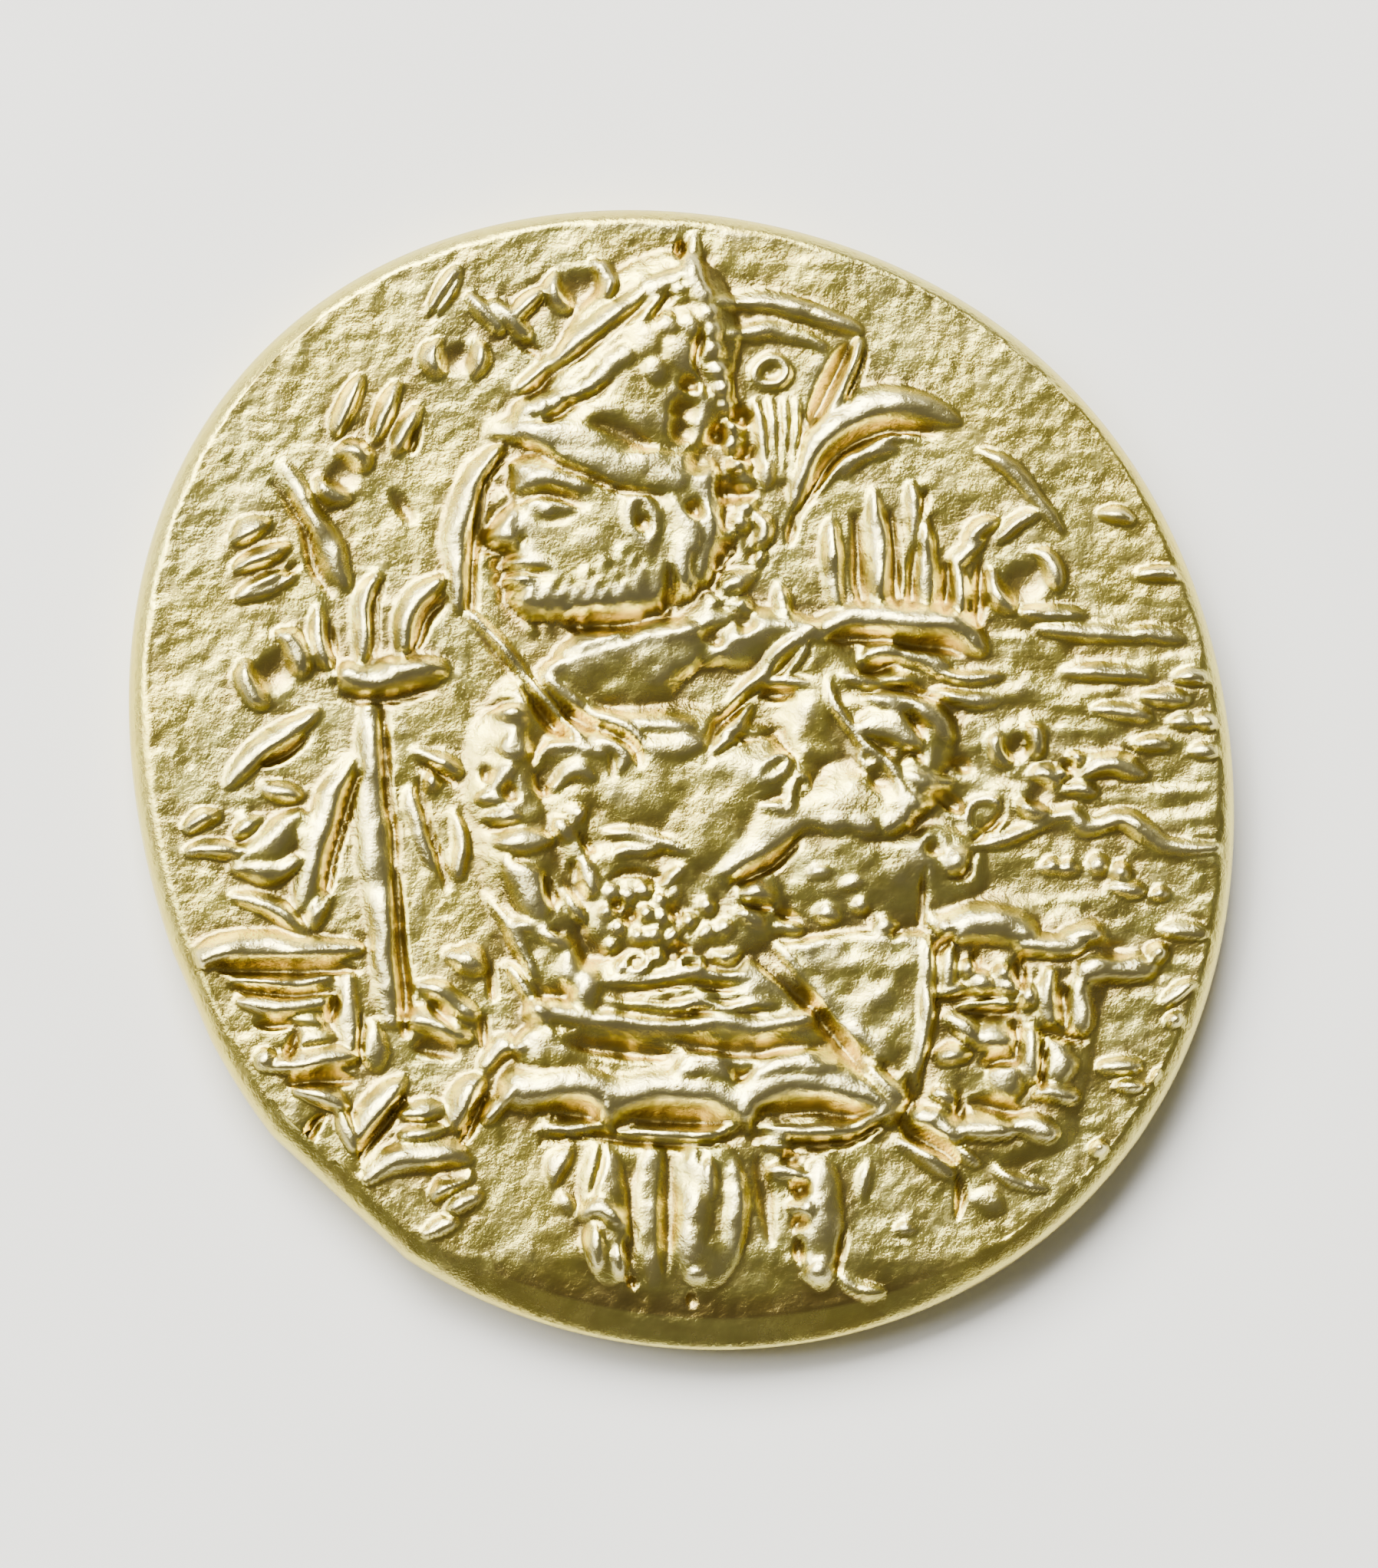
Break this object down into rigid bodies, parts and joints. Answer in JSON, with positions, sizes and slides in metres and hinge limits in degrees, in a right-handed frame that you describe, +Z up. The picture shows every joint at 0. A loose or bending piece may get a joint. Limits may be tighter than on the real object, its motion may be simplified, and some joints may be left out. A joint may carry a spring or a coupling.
{
  "type": "ancient gold coin",
  "caption": "Hammered gold coin, slightly out of round, with a standing helmeted figure in relief, a plainer figure on the back and a rounded, partly worn edge.",
  "frame": {"origin": "middle of the bounding box, on the surface that the coin lies on", "axes": "+Z up out of the figured face, +Y towards the figure's head, +X to the right for someone who looks down on the figure"},
  "size_m": [0.0206, 0.0214, 0.0018],
  "materials": {
    "gold": "worn high-carat gold, bright on raised edges, dull and darker in the hollows"
  },
  "bodies": {
    "root": {"coin": "gold"}
  },
  "joints": []
}
